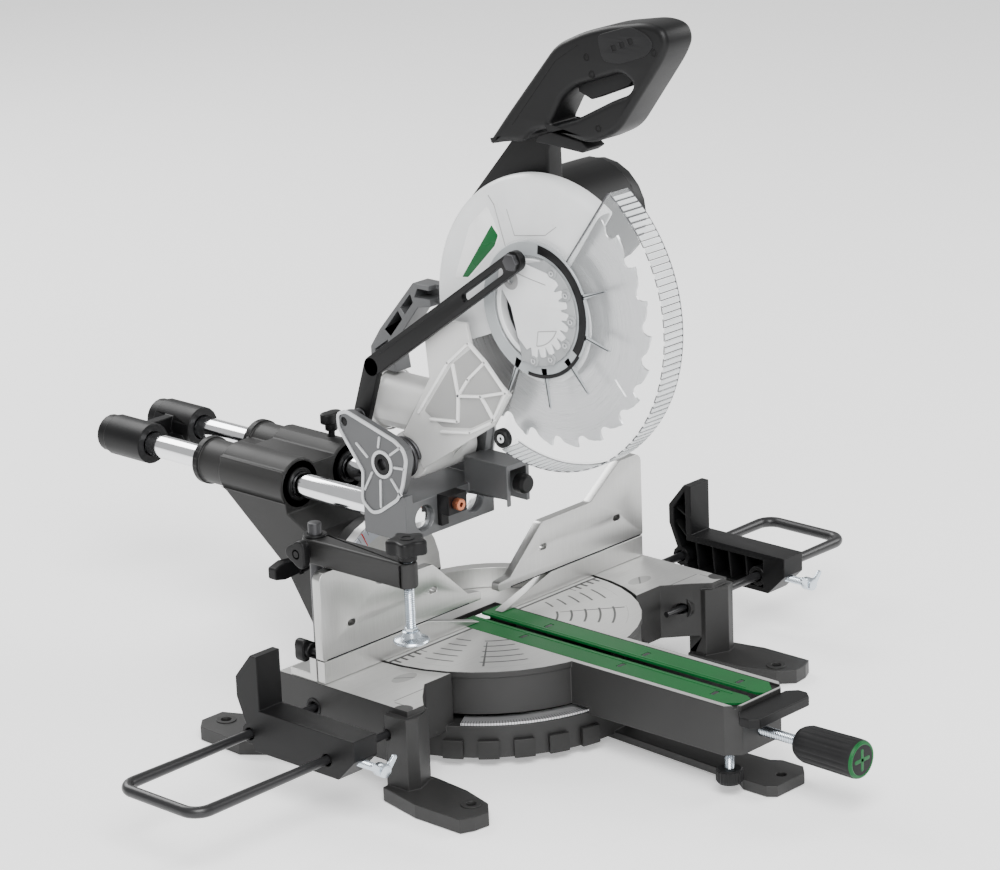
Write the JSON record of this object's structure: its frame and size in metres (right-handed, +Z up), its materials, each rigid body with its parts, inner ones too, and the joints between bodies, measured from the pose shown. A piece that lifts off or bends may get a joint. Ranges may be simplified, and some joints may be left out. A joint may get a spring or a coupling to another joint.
{
  "type": "sliding compound miter saw",
  "caption": "Bench saw with a circular blade on a pivoting head, sliding on twin rails over a turning table with a tilting arm, split fence, work clamp and pull-out supports.",
  "frame": {"origin": "the turntable's turning axis, at the height of the bench that the feet stand on; the fence's front face is in the plane y = 0", "axes": "+X to the operator's right, +Y away from the operator along the rails, +Z up"},
  "size_m": [0.9274, 0.969, 0.708],
  "materials": {
    "dark_casting": "dark warm gray powder coat on die-cast aluminium",
    "gray_casting": "mid gray cast aluminium",
    "pale_casting": "off-white painted die-cast aluminium",
    "machined_aluminium": "milled and brushed",
    "green_plastic": "moulded green plastic",
    "chrome_rail": "ground and chromed tube",
    "steel": "bright turned steel",
    "blade_steel": "ground saw steel with radial brushing",
    "black_steel": "black enamel on steel",
    "zinc_steel": "bluish zinc plate",
    "copper_part": "copper coloured metal",
    "black_plastic": "satin black moulded plastic",
    "black_rubber": "matt rubber",
    "clear_plastic": "clear polycarbonate"
  },
  "bodies": {
    "base": {"base_casting": "dark_casting", "miter_scale": "machined_aluminium", "fence_base": "machined_aluminium"},
    "turntable": {"turntable_casting": "dark_casting", "kerf_plate_left": "green_plastic", "kerf_plate_right": "green_plastic", "pivot_bolt": "steel", "bevel_scale": "machined_aluminium", "bevel_bolt": "steel"},
    "bevel_arm": {"bevel_casting": "dark_casting", "rail_bush_left": "steel", "rail_bush_right": "steel"},
    "slide": {"rail_left": "chrome_rail", "rail_right": "chrome_rail", "rear_cap": "black_plastic", "carriage": "gray_casting", "head_pivot_pin": "steel", "stop_buffer": "black_rubber", "return_spring": "black_steel"},
    "head": {"head_arm": "pale_casting", "upper_guard": "pale_casting", "dust_port": "pale_casting", "motor_housing": "black_plastic", "main_handle": "black_plastic", "carry_handle": "gray_casting"},
    "blade": {"arbor": "steel", "blade_flange": "steel", "saw_blade": "blade_steel"},
    "motor_rotor": {"motor_rotor": "copper_part"},
    "guard": {"lower_guard": "clear_plastic", "guard_hub_plate": "pale_casting", "guard_ring": "black_plastic"},
    "guard_roller": {"guard_roller": "black_rubber"},
    "guard_link": {"guard_link": "black_steel"},
    "trigger": {"trigger": "black_plastic"},
    "guard_release": {"guard_release_lever": "black_plastic"},
    "upper_fence_left": {"upper_fence_left": "machined_aluminium"},
    "fence_knob_left": {"fence_knob_left": "black_plastic"},
    "bar_lock_knob_left": {"bar_lock_knob_left": "black_plastic"},
    "extension_loop_left": {"extension_loop_left": "black_steel"},
    "stop_bracket_left": {"stop_bracket_left": "black_plastic"},
    "wing_screw_left": {"wing_screw_left": "zinc_steel"},
    "upper_fence_right": {"upper_fence_right": "machined_aluminium"},
    "fence_knob_right": {"fence_knob_right": "black_plastic"},
    "bar_lock_knob_right": {"bar_lock_knob_right": "black_plastic"},
    "extension_loop_right": {"extension_loop_right": "black_steel"},
    "stop_bracket_right": {"stop_bracket_right": "black_plastic"},
    "wing_screw_right": {"wing_screw_right": "zinc_steel"},
    "clamp_post": {"clamp_post": "black_steel"},
    "clamp_arm": {"clamp_arm": "dark_casting"},
    "clamp_screw": {"clamp_screw": "zinc_steel"},
    "clamp_post_knob": {"clamp_post_knob": "black_plastic"},
    "detent_lever": {"detent_lever": "black_plastic"},
    "miter_lock": {"miter_lock_rod": "zinc_steel", "miter_lock_grip": "black_plastic"},
    "levelling_foot": {"levelling_foot": "black_plastic"},
    "bevel_lock": {"bevel_lock_lever": "black_plastic"},
    "slide_lock": {"slide_lock_knob": "black_plastic"},
    "depth_stop": {"depth_stop": "black_plastic"},
    "depth_stop_screw": {"depth_stop_screw": "copper_part"}
  },
  "joints": [
    {"name": "miter", "type": "hinge", "parent": "base", "child": "turntable", "pos_m": [0, 0, 0], "axis": [0, 0, 1], "range_deg": [-45, 45]},
    {"name": "bevel", "type": "hinge", "parent": "turntable", "child": "bevel_arm", "pos_m": [0, 0.15, 0.09], "axis": [0, 1, 0], "range_deg": [-45, 0]},
    {"name": "rail_slide", "type": "slide", "parent": "bevel_arm", "child": "slide", "axis": [0, -1, 0], "range_m": [-0.11, 0.08]},
    {"name": "head_drop", "type": "hinge", "parent": "slide", "child": "head", "pos_m": [0, 0.079, 0.248], "axis": [1, 0, 0], "range_deg": [0, 55], "stiffness_Nm_per_rad": 6, "springref_deg": -97.4},
    {"name": "blade_spin", "type": "hinge", "parent": "head", "child": "blade", "pos_m": [0, -0.09, 0.412], "axis": [1, 0, 0], "continuous": true},
    {"name": "rotor_spin", "type": "hinge", "parent": "head", "child": "motor_rotor", "pos_m": [0.088, -0.04, 0.478], "axis": [1, 0, 0], "continuous": true},
    {"name": "guard_swing", "type": "hinge", "parent": "head", "child": "guard", "pos_m": [-0.014, -0.09, 0.421], "axis": [1, 0, 0], "range_deg": [-150, 0]},
    {"name": "roller_spin", "type": "hinge", "parent": "guard", "child": "guard_roller", "pos_m": [-0.02, -0.0441, 0.28768], "axis": [1, 0, 0], "continuous": true},
    {"name": "link_swing", "type": "hinge", "parent": "slide", "child": "guard_link", "pos_m": [-0.045, 0.13, 0.282], "axis": [1, 0, 0], "range_deg": [0, 50]},
    {"name": "trigger_pull", "type": "hinge", "parent": "head", "child": "trigger", "pos_m": [0, -0.15, 0.642], "axis": [-1, 0, 0], "range_deg": [0, 7], "stiffness_Nm_per_rad": 1, "springref_deg": -8.59},
    {"name": "release_press", "type": "hinge", "parent": "head", "child": "guard_release", "pos_m": [0, -0.096, 0.58], "axis": [-1, 0, 0], "range_deg": [0, 2.5], "stiffness_Nm_per_rad": 1, "springref_deg": -8.59},
    {"name": "fence_slide_left", "type": "slide", "parent": "base", "child": "upper_fence_left", "axis": [1, 0, 0], "range_m": [-0.044, 0]},
    {"name": "fence_knob_left_turn", "type": "hinge", "parent": "upper_fence_left", "child": "fence_knob_left", "pos_m": [-0.222, 0.02, 0.118], "axis": [0, 1, 0], "range_deg": [-90, 90]},
    {"name": "bar_lock_knob_left_turn", "type": "hinge", "parent": "base", "child": "bar_lock_knob_left", "pos_m": [-0.206, 0.062, 0.064], "axis": [0, 1, 0], "range_deg": [-90, 90]},
    {"name": "loop_slide_left", "type": "slide", "parent": "base", "child": "extension_loop_left", "axis": [-1, 0, 0], "range_m": [-0.022, 0.02]},
    {"name": "stop_slide_left", "type": "slide", "parent": "extension_loop_left", "child": "stop_bracket_left", "axis": [1, 0, 0], "range_m": [-0.1, 0.02]},
    {"name": "wing_screw_left_turn", "type": "hinge", "parent": "stop_bracket_left", "child": "wing_screw_left", "pos_m": [-0.296, -0.12, 0.064], "axis": [0, 1, 0], "range_deg": [-90, 90]},
    {"name": "fence_slide_right", "type": "slide", "parent": "base", "child": "upper_fence_right", "axis": [-1, 0, 0], "range_m": [-0.044, 0]},
    {"name": "fence_knob_right_turn", "type": "hinge", "parent": "upper_fence_right", "child": "fence_knob_right", "pos_m": [0.222, 0.02, 0.118], "axis": [0, 1, 0], "range_deg": [-90, 90]},
    {"name": "bar_lock_knob_right_turn", "type": "hinge", "parent": "base", "child": "bar_lock_knob_right", "pos_m": [0.206, 0.062, 0.064], "axis": [0, 1, 0], "range_deg": [-90, 90]},
    {"name": "loop_slide_right", "type": "slide", "parent": "base", "child": "extension_loop_right", "axis": [1, 0, 0], "range_m": [0, 0.04]},
    {"name": "stop_slide_right", "type": "slide", "parent": "extension_loop_right", "child": "stop_bracket_right", "axis": [-1, 0, 0], "range_m": [-0.08, 0.02]},
    {"name": "wing_screw_right_turn", "type": "hinge", "parent": "stop_bracket_right", "child": "wing_screw_right", "pos_m": [0.318, -0.12, 0.064], "axis": [0, 1, 0], "range_deg": [-90, 90]},
    {"name": "clamp_lift", "type": "slide", "parent": "base", "child": "clamp_post", "axis": [0, 0, 1], "range_m": [0, 0.03]},
    {"name": "clamp_swing", "type": "hinge", "parent": "clamp_post", "child": "clamp_arm", "pos_m": [-0.203, 0.028, 0.213], "axis": [0, 0, 1], "range_deg": [-60, 0]},
    {"name": "clamp_press", "type": "slide", "parent": "clamp_arm", "child": "clamp_screw", "axis": [0, 0, 1], "range_m": [0, 0.035]},
    {"name": "clamp_post_knob_turn", "type": "hinge", "parent": "clamp_arm", "child": "clamp_post_knob", "pos_m": [-0.219, 0.028, 0.214], "axis": [1, 0, 0], "range_deg": [-90, 90]},
    {"name": "detent_press", "type": "hinge", "parent": "turntable", "child": "detent_lever", "pos_m": [0, -0.345, 0.068], "axis": [1, 0, 0], "range_deg": [0, 8], "stiffness_Nm_per_rad": 2, "springref_deg": -11.46},
    {"name": "miter_lock_turn", "type": "hinge", "parent": "turntable", "child": "miter_lock", "pos_m": [0, -0.38, 0.057], "axis": [0, 1, 0], "range_deg": [-90, 90]},
    {"name": "levelling_foot_drop", "type": "slide", "parent": "turntable", "child": "levelling_foot", "axis": [0, 0, -1], "range_m": [0, 0.0115]},
    {"name": "bevel_lock_turn", "type": "hinge", "parent": "bevel_arm", "child": "bevel_lock", "pos_m": [-0.046, 0.206, 0.118], "axis": [1, 0, 0], "range_deg": [-60, 60]},
    {"name": "slide_lock_turn", "type": "hinge", "parent": "bevel_arm", "child": "slide_lock", "pos_m": [0.038, 0.252, 0.235], "axis": [0, 0, 1], "range_deg": [-90, 90]},
    {"name": "depth_stop_shift", "type": "slide", "parent": "slide", "child": "depth_stop", "axis": [1, 0, 0], "range_m": [-0.012, 0]},
    {"name": "depth_screw_turn", "type": "hinge", "parent": "depth_stop", "child": "depth_stop_screw", "pos_m": [-0.008, 0.034, 0.203], "axis": [0, 1, 0], "range_deg": [-180, 180]}
  ],
  "couplings": [
    {"joint": "guard_swing", "follows": "head_drop", "ratio": -2.62},
    {"joint": "link_swing", "follows": "head_drop", "ratio": 0.86},
    {"joint": "rotor_spin", "follows": "blade_spin", "ratio": -3}
  ]
}
